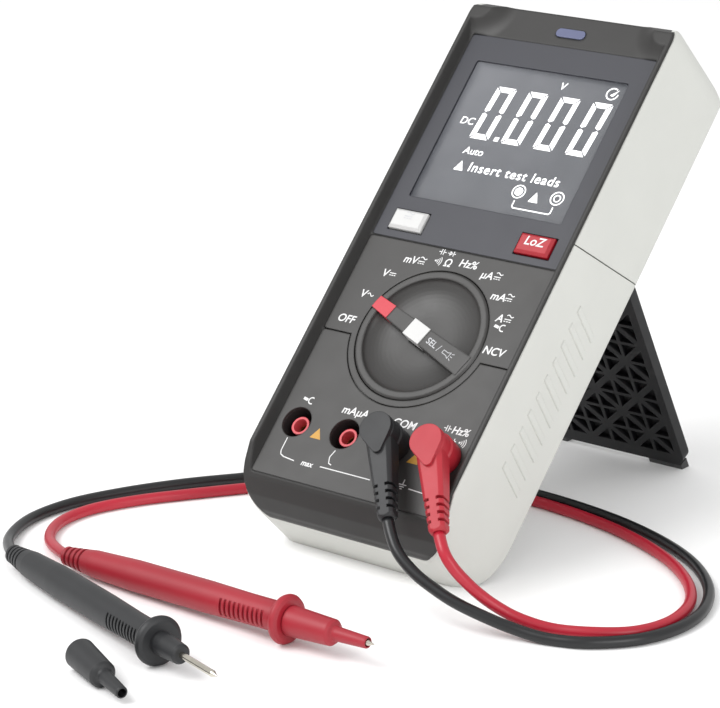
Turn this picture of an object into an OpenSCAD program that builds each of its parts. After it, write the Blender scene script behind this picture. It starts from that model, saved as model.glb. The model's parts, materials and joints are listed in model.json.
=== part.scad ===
// Handheld digital multimeter, leaning on its fold-out stand, with its two test leads plugged in.
// The bench is z = 0. The origin is the middle of the edge that the meter stands on, +X runs to
// the right across the meter and +Y runs away from its face.
// The meter itself is drawn lying on its back: x across, y from the bottom end to the top end,
// z from the back to the face. lean() then stands it up.

/* [Case] */
// Width across the side walls
case_w = 79; // [76:1:84]
// Length from the bottom end to the top end
case_len = 192; // [188:1:198]
// Height of the raised side rails above the back
case_depth = 44; // [42:1:48]
// How far the face lies below the side rails
face_sink = 3.5; // [2.5:0.5:4.5]
// Wall of the light outer shells
shell_wall = 1.5; // [1.2:0.1:2]
// Angle of the face above the bench
recline = 46; // [42:1:50]

/* [Face] */
// Pitch of the four jacks, the standard double-plug spacing
jack_pitch = 19; // [19:19]
// Distance of the jack row from the bottom end
jack_row = 29; // [28:1:31]
// Distance of the dial centre from the bottom end
dial_y = 67; // [66:1:69]
// Radius of the selector knob
knob_r = 23; // [21:0.5:23.5]
// Width of the display overlay
overlay_w = 71.6; // [70:0.2:72]
// Lower edge of the display overlay
overlay_y0 = 98; // [97:1:99]
// Upper edge of the display overlay
overlay_y1 = 176; // [174:1:178]
// Width of the display window
window_w = 59; // [56:1:60]
// Height of the display window
window_h = 53; // [50:1:54]

/* [Stand] */
// Width of the stand plate
stand_w = 64; // [58:1:64]
// Length from the hinge to the foot
stand_len = 94; // [92:1:95]
// Pitch of the triangular ribs
rib_pitch = 8.5; // [8:0.5:10]

/* [Leads] */
// Diameter of the test leads
lead_d = 3.6; // [3:0.1:4]
// Angle of the plug tails away from straight down the face
plug_turn = 32; // [20:1:36]
// Length of a plug from the jack axis to the end of its strain relief
plug_reach = 30.5; // [29:0.5:32]

/* [Probes] */
// Length of a probe handle up to its finger guard
handle_len = 90; // [85:1:95]
// Radius of the finger guard
guard_r = 7.5; // [7:0.5:8]
// Length of the probe in front of the guard, with its needle
nose_len = 33.5; // [31:0.5:35]
// Length of the push-on tip cap
cap_len = 29; // [27:0.5:30]

/* [Hidden] */

$fn = 64;
eps = 0.01;
run = 0.3;
big = 400;

// ---- case outline
half_w = case_w / 2;
face_z = case_depth - face_sink;
face_wall = 2.2;
end_r = 10;
back_edge_r = 5;
rail_foot = half_w - 3.2;
rail_top = half_w - 1.4;
lip = 1;
lip_step = 0.4;
ear_y = case_len - 6.5;
ear_r = [13, 5];
cavity_w = case_w - 2 * (shell_wall + 2);
back_wall = 8.4;
top_bay_y = 131;
top_bay_end = case_len - 15;
top_wall = 2;

// the outline of the case seen from its side, as [y, z]
foot_z = 12;
foot_w = 4.6;
foot_dir = [cos(recline), -sin(recline)];
foot_mid = [0, foot_z] + foot_dir * foot_w / 2;
chin = [[18, case_depth], [12, case_depth - 2.2], [8, case_depth - 4.6], [4, case_depth - 8.2],
        [1.2, case_depth - 12.2], [0, case_depth - 15.5]];
back_line = [[0, foot_z], [0, foot_z] + foot_dir * foot_w, [16, 3.6], [34, 0]];
top_line = [[case_len - 13, 0], [case_len - 5, 3.8], [case_len - 1.5, 9], [case_len, 18],
            [case_len - 2, case_depth - 9], [case_len - 4.5, case_depth - 2.5],
            [case_len - 7, case_depth]];
side_outline = concat(back_line, top_line, chin);

// ---- stance
foot_shift = [-(foot_mid[0] * cos(recline) - foot_mid[1] * sin(recline)),
              -(foot_mid[0] * sin(recline) + foot_mid[1] * cos(recline))];

// ---- seam between the two light shells, as [y, z]
seam_front = [106, case_depth];
seam_back = [117, 0];

// ---- stand
hinge_y = 122;
hinge_z = 4;
stand_t = 4;
barrel_r = 3;
pin_r = 1.25;
net_from = 7.5;
recess_w = stand_w + 1.2;
recess_y0 = hinge_y - stand_len - 3;
recess_y1 = hinge_y + barrel_r + 1;
recess_z = 7.4;
hinge_h = hinge_y * sin(recline) + hinge_z * cos(recline) + foot_shift[1];
stand_open = 90 - recline + acos(hinge_h / stand_len);

// ---- face details
jack_x = [for (i = [-1.5:1:1.5]) i * jack_pitch];
well_r = 5.2;
well_wall = 1.3;
well_floor = 27;
sleeve_r = 3.1;
sleeve_top = face_z - 2.5;
bore_r = 2;
contact_r = 2.6;
contact_z = [14, 34];
split_y = 62;
panel_y0 = 9.8;
lip_r = knob_r + 2.4;
seam = 0.35;
inlay_z = face_z - 1;
overlay_z = face_z - 0.6;
window_mid = [0, 140];
lens_z = face_z - 1.3;
glass_z = [36.4, 38.6];
indicator = [11, 3.2];
indicator_y = 181.3;
key_y = 104.5;
key_x = 24.5;
key_size = [12.6, 7];
key_top = face_z + 1.6;

// ---- knob, drawn with its pointer along +x
knob_top = face_z + 0.5;
knob_base = 35;
dish_r = 20.3;
dish_z = 36.2;
bowl_w = 13;
bar_tip = [23, 2.2];
bar_end = [-21.4, 3.7];
pointer_from = 15;
sel_from = -2.15;
sel_to = 5.75;
sel_floor = 37;
shaft_r = 5;
pointer_angle = 160;

// ---- inside
pcb = [24, 1.6];
lcd_w = 64;
lcd_h = 57;
strip_x = 28;
strip_y = 27;
cell = [10.5, 44.5];
fuse_big = [10.3, 38];
fuse_small = [6.3, 32];
low_z = 15;
screws = [[-26, 17], [26, 17], [-26, 174.5], [26, 174.5]];
screw_seat = 6.2;
screw_r = 1.4;
post_r = 3;
cup_floor = [30, 32.2];

// ---- plug, drawn with its jack axis on z and its tail along +x, face at z = 0
plug_lift = 0.2;
tail_z = 8;
collar_r = 6;
head_z = [6, 12];
pad_r = 5.3;
pad_tip = 7.4;
tail_w = [8.8, 5.2];
tail_h = [8.6, 5.2];
slot_from = 19.4;
slot_pitch = 2.5;
shroud_r = [3.4, 4.9];
shroud_depth = 11.8;
plug_pin_r = bore_r - 0.03;
plug_pin_depth = 24;

// ---- probe, drawn along +x from its rear end
probe_rear_r = 3;
handle_r = 4.9;
grip_r = 4.6;
guard_t = 3.6;
nose_to = 14;
nose_end = nose_to - guard_t + 1.5;
needle_r = 1;
nose_r = 3.45;
cap_r = [4.6, 4, 2.2, 1.8];
cap_bore = 3.5;
cap_bore_to = 12.5;
cap_shoulder = 17;
rear_z = 4.7;
probe_tilt = asin((guard_r - rear_z) / handle_len);
cap_tilt = asin((cap_r[0] - cap_r[1]) / (cap_shoulder - 1.6));
black_probe_at = [-84.5, -73, rear_z];
black_probe_turn = -18.5;
red_probe_at = [-70.5, -64, rear_z];
red_probe_turn = -1.8;
black_cap_at = [-15, -117, cap_r[0] + 0.03];
black_cap_turn = -23;

// ---- lead routes on the bench, as centre points
lead_r = lead_d / 2;
lead_sides = 8;
lead_steps = 2;
black_route = [
    [32, -30.5, 21], [39, -31.5, 16], [46, -31, 12.4], [53, -30, 9.4], [61, -27.5, 6.4],
    [70, -24, 3.4], [80, -21, 1.8], [91, -16, 1.8], [101, -5, 1.8], [105.5, 9, 1.8],
    [104.5, 24, 1.8], [97, 40, 1.8], [84, 54, 1.8], [68, 64, 1.8], [48, 71.5, 1.8],
    [28, 75.5, 1.8], [8, 77, 1.8], [-12, 76, 1.8], [-32, 71, 1.8], [-50, 61, 1.8],
    [-66, 46, 1.8], [-79, 29, 1.8], [-91, 12, 1.8], [-101, -7, 1.8], [-107, -25, 1.8],
    [-107, -43, 1.8], [-99, -60, 2.4]
];
red_route = [
    [49, -29.5, 23.4], [52, -29, 19.3], [55, -27, 15.2], [58, -24.3, 11.2], [62, -21.3, 7.4],
    [68, -18, 4], [77, -14, 1.8], [88, -9, 1.8], [97, -1, 1.8], [101, 11, 1.8],
    [99, 25, 1.8], [91.5, 38, 1.8], [79, 50, 1.8], [64, 59, 1.8], [46, 66, 1.8],
    [27, 70, 1.8], [8, 71.5, 1.8], [-11, 70, 1.8], [-29, 64.5, 1.8], [-45, 54, 1.8],
    [-59, 40, 1.8], [-71, 23, 1.8], [-82, 7, 1.8], [-92, -9, 1.8], [-98, -25, 1.8],
    [-97, -40, 1.8], [-88, -53, 2.2]
];

// ==== placing

// lying on its back -> leaning on the bench
module lean() {
    translate([0, foot_shift[0], foot_shift[1]]) rotate([recline, 0, 0]) children();
}

// folded against the back -> swung out
module swing() {
    lean()
        translate([0, hinge_y, hinge_z])
            rotate([stand_open, 0, 0])
                translate([0, -hinge_y, -hinge_z]) children();
}

module at_dial() {
    lean() translate([0, dial_y, 0]) rotate([0, 0, pointer_angle]) children();
}

module at_jacks(which = [0:3]) {
    for (i = which) translate([jack_x[i], jack_row, 0]) children();
}

module in_jack(i) {
    lean()
        translate([jack_x[i], jack_row, face_z])
            rotate([0, 0, plug_turn - 90]) children();
}

module lay(at, turn, tilt) {
    translate(at) rotate([0, 0, turn]) rotate([0, tilt, 0]) children();
}

module black_probe_place() lay(black_probe_at, black_probe_turn, -probe_tilt) children();
module red_probe_place() lay(red_probe_at, red_probe_turn, -probe_tilt) children();

// ==== shapes

// a bar along +y between the side walls of an outline given as [y, z]
module across(points, w = big) {
    translate([-w / 2, 0, 0]) rotate([90, 0, 90]) linear_extrude(w) polygon(points);
}

// a plate with round corners, centred on x
module plate(w, y0, y1, z0, z1, r) {
    translate([0, 0, z0]) linear_extrude(z1 - z0) rounded(w, y0, y1, r);
}

module rounded(w, y0, y1, r) {
    for (x = [-1, 1], y = [y0 + r, y1 - r]) translate([x * (w / 2 - r), y]) circle(r);
    translate([-w / 2, y0 + r]) square([w, y1 - y0 - 2 * r]);
    translate([-w / 2 + r, y0]) square([w - 2 * r, y1 - y0]);
}

module tube(r_in, r_out, z0, z1) {
    translate([0, 0, z0]) difference() {
        cylinder(h = z1 - z0, r = r_out);
        translate([0, 0, -1]) cylinder(h = z1 - z0 + 2, r = r_in);
    }
}

// a solid of revolution along +x from points given as [x, radius]
module turned(points) {
    rotate([90, 0, 90]) rotate_extrude() polygon([for (p = points) [p[1], p[0]]]);
}

// a key cap with sloping sides
module key_cap(size, z0, z1, slope) {
    intersection() {
        translate([0, size[1] / 2, 0]) rotate([90, 0, 0]) linear_extrude(size[1])
            polygon([[-size[0] / 2, z0], [size[0] / 2, z0], [size[0] / 2, z1 - slope],
                     [size[0] / 2 - slope, z1], [slope - size[0] / 2, z1],
                     [-size[0] / 2, z1 - slope]]);
        translate([-size[0] / 2, 0, 0]) rotate([90, 0, 90]) linear_extrude(size[0])
            polygon([[-size[1] / 2, z0], [size[1] / 2, z0], [size[1] / 2, z1 - slope],
                     [size[1] / 2 - slope, z1], [slope - size[1] / 2, z1],
                     [-size[1] / 2, z1 - slope]]);
    }
}

// ==== case

// everything inside the outer faces of the case
module envelope(inset = 0) {
    w = case_w - 2 * inset;
    r = back_edge_r;
    intersection() {
        plate(w, inset, case_len - inset, -1, case_depth + 1, end_r - inset);
        across(side_outline);
        translate([0, case_len, 0]) rotate([90, 0, 0]) linear_extrude(case_len) {
            for (x = [-1, 1]) translate([x * (w / 2 - r), r]) circle(r);
            translate([r - w / 2, 0]) square([w - 2 * r, r]);
            translate([-w / 2, r]) square([w, case_depth - r]);
        }
    }
}

// the space above the line where the dark case laps over the light shells
module above_lap() {
    across(concat([for (p = chin) p - [0, lip]], [[-1, case_depth - 15.5 - lip],
           [-1, case_depth + 1], [case_len + 1, case_depth + 1], [case_len + 1, case_depth - lip]]));
}

module cavity() {
    intersection() {
        plate(cavity_w, shell_wall + 2, case_len - 5, back_wall, face_z - face_wall, 8);
        across(concat([for (p = chin) p + [2, -3.5]], [[3, 0], [case_len, 0],
               [case_len - 5, case_depth]]));
    }
    plate(cavity_w, top_bay_y, top_bay_end, top_wall, back_wall + 1, 8);
}

// the flared foot that a rail ends in at a top corner
module ear() {
    steps = 8;
    spread = ear_r[0] - ear_r[1];
    rotate_extrude() polygon(concat(
        [[0, -eps]],
        [for (i = [0:steps]) [ear_r[0] - spread * i / steps, face_sink * pow(i / steps, 2) - eps]],
        [[ear_r[1], face_sink + 2], [0, face_sink + 2]]));
}

// the sunk face between the side rails
module face_sink_cut() {
    difference() {
        translate([0, case_len + 1, 0]) rotate([90, 0, 0]) linear_extrude(case_len + 2)
            polygon([[-rail_foot, face_z], [rail_foot, face_z], [rail_top, case_depth + 1],
                     [-rail_top, case_depth + 1]]);
        for (x = [-1, 1]) translate([x * rail_foot, ear_y, face_z]) ear();
    }
}

// the area of the lower face inlay
module jack_area(inset = 0) {
    rounded(2 * rail_foot - 0.2 - 2 * inset, panel_y0 + inset, split_y - inset, 1);
}

module front_case() {
    color("#5a5957") lean() {
        front_skin();
        // the cup under the knob
        translate([0, dial_y, 0]) {
            tube(knob_r + 1, knob_r + 2.6, cup_floor[0], face_z - 2);
            tube(shaft_r + run, knob_r + 1.5, cup_floor[0], cup_floor[1]);
        }
        for (s = screws) translate([s[0], s[1], 0])
            tube(screw_r + 0.05, post_r, back_wall + 0.2, face_z - 2);
    }
}

module front_skin() {
    difference() {
        union() {
            intersection() {
                envelope(lip_step);
                above_lap();
            }
            difference() {
                envelope(shell_wall + 0.1);
                translate([-big / 2, -1, -1]) cube([big, big, 22]);
                above_lap();
            }
        }
        face_sink_cut();
        cavity();
        plate(overlay_w + 0.1, overlay_y0 - 0.05, overlay_y1 + 0.05, overlay_z, case_depth, 1);
        plate(window_w + 6, window_mid[1] - window_h / 2 - 3, window_mid[1] + window_h / 2 + 3,
              face_z - face_wall - 1, case_depth, 2);
        translate([0, 0, inlay_z]) linear_extrude(face_sink) jack_area();
        plate(2 * rail_foot - 0.2, split_y, overlay_y0 - 0.3, inlay_z, case_depth, 1);
        translate([0, dial_y, cup_floor[1]]) cylinder(h = 20, r = knob_r + 1);
        translate([0, 0, well_floor]) at_jacks() cylinder(h = 20, r = well_r + well_wall + 0.1);
        key_holes(0.5);
        indicator_slot(0.1);
    }
}

module key_holes(extra) {
    for (x = [-key_x, key_x])
        translate([x - key_size[0] / 2 - extra, key_y - key_size[1] / 2 - extra, 30])
            cube([key_size[0] + 2 * extra, key_size[1] + 2 * extra, 20]);
}

module indicator_slot(extra) {
    plate(indicator[0] + 2 * extra, indicator_y - indicator[1] / 2 - extra,
          indicator_y + indicator[1] / 2 + extra, 30, 50, 1.6);
}

// the upper inlay, with a lip that runs down round the dial
module dial_panel() {
    color("#5f5e5c") lean() difference() {
        union() {
            plate(2 * rail_foot - 0.4, split_y + seam, overlay_y0 - 0.5, inlay_z, face_z, 1);
            translate([0, dial_y, inlay_z]) cylinder(h = face_z - inlay_z, r = lip_r);
        }
        translate([0, dial_y, 0]) cylinder(h = 50, r = knob_r + run);
    }
}

module jack_panel() {
    color("#595856") lean() difference() {
        translate([0, 0, inlay_z]) linear_extrude(face_z - inlay_z) jack_area(0.1);
        translate([0, dial_y, 0]) cylinder(h = 50, r = lip_r + seam);
        at_jacks() cylinder(h = 50, r = well_r);
    }
}

// the liner of the well that the knob turns in
module dial_ring() {
    color("#454443") lean() translate([0, dial_y, 0])
        tube(knob_r + run, knob_r + 0.95, knob_base + 2, inlay_z - 0.02);
}

module display_overlay() {
    color("#6e7077") lean() difference() {
        plate(overlay_w, overlay_y0, overlay_y1, overlay_z, face_z + 0.15, 1);
        plate(window_w, window_mid[1] - window_h / 2, window_mid[1] + window_h / 2, 30, 50, 0.8);
        key_holes(0.5);
    }
}

module display_lens() {
    color("#7d8086", 0.5) lean()
        plate(window_w + 4, window_mid[1] - window_h / 2 - 2, window_mid[1] + window_h / 2 + 2,
              lens_z, overlay_z, 1.5);
}

module indicator_lens() {
    color("#6b7fa8") lean()
        plate(indicator[0], indicator_y - indicator[1] / 2, indicator_y + indicator[1] / 2,
              face_z - 3, face_z + 0.3, 1.5);
}

// ==== light outer shells

module shells() {
    difference() {
        union() {
            difference() {
                envelope();
                above_lap();
                face_sink_cut();
                difference() {
                    envelope(shell_wall);
                    translate([-big / 2, -1, -1]) cube([big, big, 22]);
                }
                cavity();
            }
            intersection() {
                envelope();
                translate([0, 0, 1]) for (s = [screws[2], screws[3]])
                    translate([s[0], s[1], 0]) cylinder(h = back_wall - 1, r = 4.5);
            }
        }
        plate(recess_w, recess_y0, recess_y1, -1, recess_z, 4);
        for (s = screws) translate([s[0], s[1], -1]) {
            cylinder(h = screw_seat + 1, r = 3.1);
            cylinder(h = 12, r = screw_r + 0.05);
        }
    }
}

module beyond_seam(offset_y) {
    across([seam_back + [offset_y, -1], seam_front + [offset_y, 1],
            [case_len + 9, case_depth + 1], [case_len + 9, -1]]);
}

module rear_shell_upper() {
    color("#e3e3df") lean() {
        intersection() {
            shells();
            beyond_seam(0.2);
        }
        hinge_lugs();
    }
}

module rear_shell_lower() {
    color("#e3e3df") lean() difference() {
        shells();
        beyond_seam(-0.2);
    }
}

// the two ears in the recess that hold the stand's pin
module hinge_lugs() {
    for (x = [-1, 1]) difference() {
        translate([x * (stand_w / 2 - 5) - 2, hinge_y - 2.6, 1.4])
            cube([4, recess_y1 - hinge_y + 2.6, recess_z - 1.4]);
        translate([x * (stand_w / 2 - 5) - 3, hinge_y, hinge_z])
            rotate([0, 90, 0]) cylinder(h = 6, r = pin_r);
    }
}

module case_screws() {
    color("#8a8a88") lean() for (s = screws) translate([s[0], s[1], screw_seat]) {
        translate([0, 0, -2]) difference() {
            cylinder(h = 2, r = 2.8);
            translate([0, 0, -1]) for (a = [0, 90]) rotate([0, 0, a])
                translate([-1.7, -0.35, 0]) cube([3.4, 0.7, 1.9]);
        }
        cylinder(h = 15.5, r = screw_r);
    }
}

// ==== inside

module lcd_glass() {
    color("#2b2d33") lean()
        plate(lcd_w, window_mid[1] - lcd_h / 2, window_mid[1] + lcd_h / 2, glass_z[0], glass_z[1],
              1);
}

module lcd_backlight() {
    color("#f0f0ea") lean()
        plate(lcd_w, window_mid[1] - strip_y + 1.5, window_mid[1] + strip_y - 1.5, 31,
              glass_z[0] - 0.1, 1);
}

// the frame that holds the glass, its backlight and the two contact strips
module lcd_frame() {
    color("#d8d8d4") lean() difference() {
        plate(lcd_w + 4.4, window_mid[1] - lcd_h / 2 - 2.2, window_mid[1] + lcd_h / 2 + 2.2,
              pcb[0] + pcb[1], 38.1, 2);
        plate(lcd_w + 0.4, window_mid[1] - lcd_h / 2 - 0.2, window_mid[1] + lcd_h / 2 + 0.2,
              glass_z[0] - 0.1, 40, 1);
        plate(lcd_w + 0.4, window_mid[1] - strip_y + 1.3, window_mid[1] + strip_y - 1.3,
              31, 40, 1);
        plate(lcd_w - 8, window_mid[1] - lcd_h / 2 + 8, window_mid[1] + lcd_h / 2 - 8, 20, 40, 1);
        for (y = [-1, 1]) translate([-strip_x - 0.2, window_mid[1] + y * strip_y - 1.2, 20])
            cube([2 * strip_x + 0.4, 2.4, 20]);
    }
}

// the rubber strips that join the glass to the board
module contact_strips() {
    color("#d98aa0") lean() for (y = [-1, 1])
        translate([-strip_x, window_mid[1] + y * strip_y - 1, pcb[0] + pcb[1]])
            cube([2 * strip_x, 2, glass_z[0] - pcb[0] - pcb[1]]);
}

module main_pcb() {
    color("#2f6b45") lean() difference() {
        plate(70, 8, case_len - 8, pcb[0], pcb[0] + pcb[1], 6);
        at_jacks() cylinder(h = 50, r = contact_r + 0.4);
        translate([0, dial_y, 0]) cylinder(h = 50, r = shaft_r + 0.06);
        for (s = screws) translate([s[0], s[1], 0]) cylinder(h = 50, r = post_r + 0.3);
    }
}

// the rubber mat on the board, with a dome under each key
module keypad_mat() {
    base = pcb[0] + pcb[1];
    color("#c9c9c4") lean() {
        translate([-34, key_y - 4.5, base]) cube([68, 9, 1.2]);
        for (x = [-key_x, key_x])
            translate([x, key_y, base]) cylinder(h = 34.2 - base, r1 = 4, r2 = 2.6);
    }
}

module buzzer() {
    color("#2a2a2a") lean()
        translate([24, 88, pcb[0] - 6.2]) cylinder(h = 6, r = 6.2);
}

// the tongue behind the top end that senses mains voltage
module sensor_plate() {
    color("#b58b4a") lean() translate([-6, case_len - 16, 20]) cube([12, 9, 0.8]);
}

module batteries() {
    color("#4c7a54") lean() for (i = [0:2])
        translate([-27 + 12.5 * i, 40, low_z]) rotate([-90, 0, 0]) {
            cylinder(h = cell[1] - 1, r = cell[0] / 2);
            cylinder(h = cell[1], r = 1.9);
        }
}

module battery_contacts() {
    color("#b9b9b5") lean() for (i = [0:2]) translate([-27 + 12.5 * i, 0, low_z]) {
        translate([-4.5, 38.8, -4]) cube([9, 0.5, 8]);
        translate([0, 39.3, 0]) rotate([-90, 0, 0]) cylinder(h = 0.7, r = 3);
        translate([-4.5, 40 + cell[1], -4]) cube([9, 0.5, 8]);
    }
}

module fuses() {
    color("#e6e2d6") lean() {
        translate([15, 42, low_z]) rotate([-90, 0, 0]) cylinder(h = fuse_big[1], d = fuse_big[0]);
        translate([28, 42, low_z]) rotate([-90, 0, 0])
            cylinder(h = fuse_small[1], d = fuse_small[0]);
    }
}

// each clip is a flat blade against an end of its fuse
module fuse_clips() {
    color("#c4b27a") lean() {
        for (y = [41.2, 42 + fuse_big[1]]) translate([11, y, low_z - 4]) cube([8, 0.8, 12.9]);
        for (y = [41.2, 42 + fuse_small[1]]) translate([25.5, y, low_z - 3]) cube([5, 0.8, 11.9]);
    }
}

// ==== jacks

module jack_wells() {
    color("#2c2b2b") lean() at_jacks() {
        tube(well_r, well_r + well_wall, well_floor, inlay_z - 0.1);
        tube(sleeve_r + 0.05, well_r + 0.5, well_floor, well_floor + 1.4);
    }
}

module jack_sleeves() {
    color("#d9696c") lean() at_jacks() {
        tube(contact_r + 0.05, sleeve_r, well_floor - 0.8, contact_z[1] + 0.1);
        tube(bore_r + 0.3, sleeve_r, contact_z[1] + 0.1, sleeve_top);
    }
}

module jack_contacts() {
    color("#c9b067") lean() at_jacks() {
        tube(bore_r, contact_r, contact_z[0], contact_z[1]);
    }
}

// ==== knob and keys

module bar_outline() {
    polygon([bar_tip, [bar_tip[0], -bar_tip[1]], [bar_end[0], -bar_end[1]], bar_end]);
}

// the outline of the bowl beside the finger bar, from the rim in to the floor, as [r, z]
function bowl() = let (depth = knob_top - dish_z, steps = 12)
    [for (i = [0:steps]) let (a = 90 * i / steps)
        [dish_r - bowl_w * (1 - cos(a)), knob_top - 0.2 - (depth - 0.2) * sin(a)]];

module bar(z0, z1, from = -knob_r, to = knob_r) {
    translate([0, 0, z0]) linear_extrude(z1 - z0) intersection() {
        bar_outline();
        circle(knob_r - 0.3);
        translate([from, -5]) square([to - from, 10]);
    }
}

module knob() {
    color("#4b4a49") at_dial() difference() {
        union() {
            rotate_extrude() polygon(concat(
                [[0, knob_base], [knob_r, knob_base], [knob_r, knob_top - 0.6],
                 [knob_r - 0.6, knob_top], [dish_r + 0.3, knob_top]],
                bowl(),
                [[0, dish_z]]));
            bar(knob_base, knob_top + 0.2);
            translate([0, 0, pcb[0] - 1]) cylinder(h = knob_base - pcb[0] + 2, r = shaft_r);
        }
        bar(dish_z + 1, 50, from = pointer_from);
        translate([sel_from, -3.3, sel_floor - 1.4]) cube([sel_to - sel_from, 6.6, 20]);
    }
}

module knob_pointer() {
    color("#d9505a") at_dial() bar(dish_z + 1, knob_top + 0.35, from = pointer_from);
}

module sel_key() {
    clear = 0.12;
    color("#ececec") at_dial()
        translate([sel_from + clear, -3.1, sel_floor])
            cube([sel_to - sel_from - 2 * clear, 6.2, knob_top + 0.4 - sel_floor]);
}

// the disc under the knob that carries the switch wipers
module knob_rotor() {
    color("#d4d0c4") at_dial() tube(shaft_r + 0.02, 17, 27.4, 28.9);
}

module knob_wipers() {
    color("#c9b067") at_dial() for (a = [0:120:240]) rotate([0, 0, a])
        for (r = [8, 11, 14]) translate([r - 1, -3, 26.9]) cube([1.6, 6, 0.5]);
}

module face_key(x) {
    translate([x, key_y, 0]) {
        key_cap(key_size, 37, key_top, 0.9);
        translate([-key_size[0] / 2 - 1, -key_size[1] / 2 - 0.8, 35.4])
            cube([key_size[0] + 2, key_size[1] + 1.6, 1.6]);
    }
}

module white_key() {
    color("#ececec") lean() face_key(-key_x);
}

module loz_key() {
    color("#dd3040") lean() face_key(key_x);
}

// ==== stand

// one of the two right triangles that a rib square is split into
module rib_triangle(flip) {
    leg = rib_pitch - 2.9;
    mirror([flip, 0]) for (a = [0, 180]) rotate(a)
        translate([-rib_pitch / 2 + 0.65, -rib_pitch / 2 + 0.65])
            polygon([[0, 0], [leg, 0], [0, leg]]);
}

module stand() {
    rows = floor((stand_len - net_from - 8) / rib_pitch);
    cols = floor((stand_w - 4) / rib_pitch);
    inner = hinge_z + stand_t / 2;
    color("#151517") swing() difference() {
        union() {
            plate(stand_w, hinge_y - stand_len + 3, hinge_y, hinge_z - stand_t / 2, inner, 5);
            translate([5 - stand_w / 2 + 2.4, hinge_y, hinge_z])
                rotate([0, 90, 0]) cylinder(h = stand_w - 14.8, r = barrel_r);
        }
        for (x = [-1, 1])
            translate([x * (stand_w / 2 - 5) - 2.4, hinge_y - 4, -1])
                cube([x > 0 ? 10 : 4.8, 10, 10]);
        translate([-stand_w / 2 - 3, hinge_y - 4, -1]) cube([6, 10, 10]);
        translate([-stand_w, hinge_y, hinge_z])
            rotate([0, 90, 0]) cylinder(h = 2 * stand_w, r = pin_r + 0.05);
        translate([0, 0, inner - 1.8]) linear_extrude(5)
            for (i = [0:cols - 1], j = [0:rows - 1])
                translate([(i + 0.5 - cols / 2) * rib_pitch,
                           hinge_y - stand_len + net_from + (j + 0.5) * rib_pitch])
                    rib_triangle((i + j) % 2);
    }
}

module stand_pin() {
    color("#a9a9a6") lean() translate([-stand_w / 2 + 3, hinge_y, hinge_z])
        rotate([0, 90, 0]) cylinder(h = stand_w - 6, r = pin_r);
}

// rubber pads under both corners, cut flat where they meet the bench
module stand_feet() {
    color("#1d1d1f") difference() {
        swing() for (x = [-1, 1])
            translate([x > 0 ? 17 : -30, hinge_y - stand_len - 2, hinge_z - 1.9])
                cube([13, 5, 3.8]);
        translate([-big / 2, 0, -50]) cube([big, big, 50]);
    }
}

// ==== plugs

// the thumb pad on top of a plug, drawn out towards the tail
module thumb_pad() {
    hull() {
        circle(pad_r, $fn = 32);
        translate([pad_tip, 0]) circle(1.6, $fn = 32);
    }
}

// a wedge along +x with its width going from w[0] at x = 0 to w[1] at the plug's end
module tail_wedge(w, depth) {
    slope = (w[1] - w[0]) / 2 / plug_reach;
    far = plug_reach + 2;
    translate([0, 0, -depth / 2]) linear_extrude(depth)
        polygon([[-1, -w[0] / 2 + slope], [far, -w[0] / 2 - slope * far],
                 [far, w[0] / 2 + slope * far], [-1, w[0] / 2 - slope]]);
}

// the flat-sided tail of a plug, narrowing towards its strain relief
module plug_tail() {
    translate([0, 0, tail_z]) intersection() {
        tail_wedge(tail_w, 20);
        rotate([90, 0, 0]) tail_wedge(tail_h, 20);
        turned([[0, 0], [0, tail_w[0] * 0.6], [plug_reach - 1, tail_w[1] * 0.6],
                [plug_reach, tail_w[1] * 0.42], [plug_reach, 0]]);
    }
}

module plug_body() {
    difference() {
        union() {
            rotate_extrude()
                polygon([[0, plug_lift], [collar_r, plug_lift], [collar_r, head_z[0]],
                         [collar_r - 0.5, head_z[0] + 0.6], [collar_r - 0.5, head_z[1] - 1],
                         [collar_r - 1.3, head_z[1]], [0, head_z[1]]]);
            plug_tail();
            translate([0, 0, head_z[1] - 1]) linear_extrude(1.8) thumb_pad();
        }
        for (i = [0:3], y = [-1, 1])
            translate([slot_from + slot_pitch * i, y * 5 - 4.2 + 0.35 * y, 0])
                cube([1, 8.4, 20]);
    }
}

module plug_shroud() tube(shroud_r[0], shroud_r[1], -shroud_depth, plug_lift);

module plug_pin() {
    translate([0, 0, -plug_pin_depth]) {
        cylinder(h = 2, r1 = plug_pin_r - 0.8, r2 = plug_pin_r);
        translate([0, 0, 2]) cylinder(h = plug_pin_depth - 2 + plug_lift, r = plug_pin_r);
    }
}

module black_plug() color("#4a4b4e") in_jack(2) plug_body();
module black_plug_shroud() color("#3c3d40") in_jack(2) plug_shroud();
module black_plug_pin() color("#c9c4b8") in_jack(2) plug_pin();
module red_plug() color("#d9505a") in_jack(3) plug_body();
module red_plug_shroud() color("#c8283c") in_jack(3) plug_shroud();
module red_plug_pin() color("#c9c4b8") in_jack(3) plug_pin();

// ==== leads

function stand_up(p) = [
    p[0],
    p[1] * cos(recline) - p[2] * sin(recline) + foot_shift[0],
    p[1] * sin(recline) + p[2] * cos(recline) + foot_shift[1]
];
function lean_dir(d) = [
    d[0],
    d[1] * cos(recline) - d[2] * sin(recline),
    d[1] * sin(recline) + d[2] * cos(recline)
];
tail_dir = [sin(plug_turn), -cos(plug_turn), 0];
function plug_exit(i) =
    stand_up([jack_x[i], jack_row, face_z + tail_z] + tail_dir * plug_reach);
function laid_dir(turn, tilt) = [cos(turn) * cos(tilt), sin(turn) * cos(tilt), sin(tilt)];

function unit(v) = v / norm(v);
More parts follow.
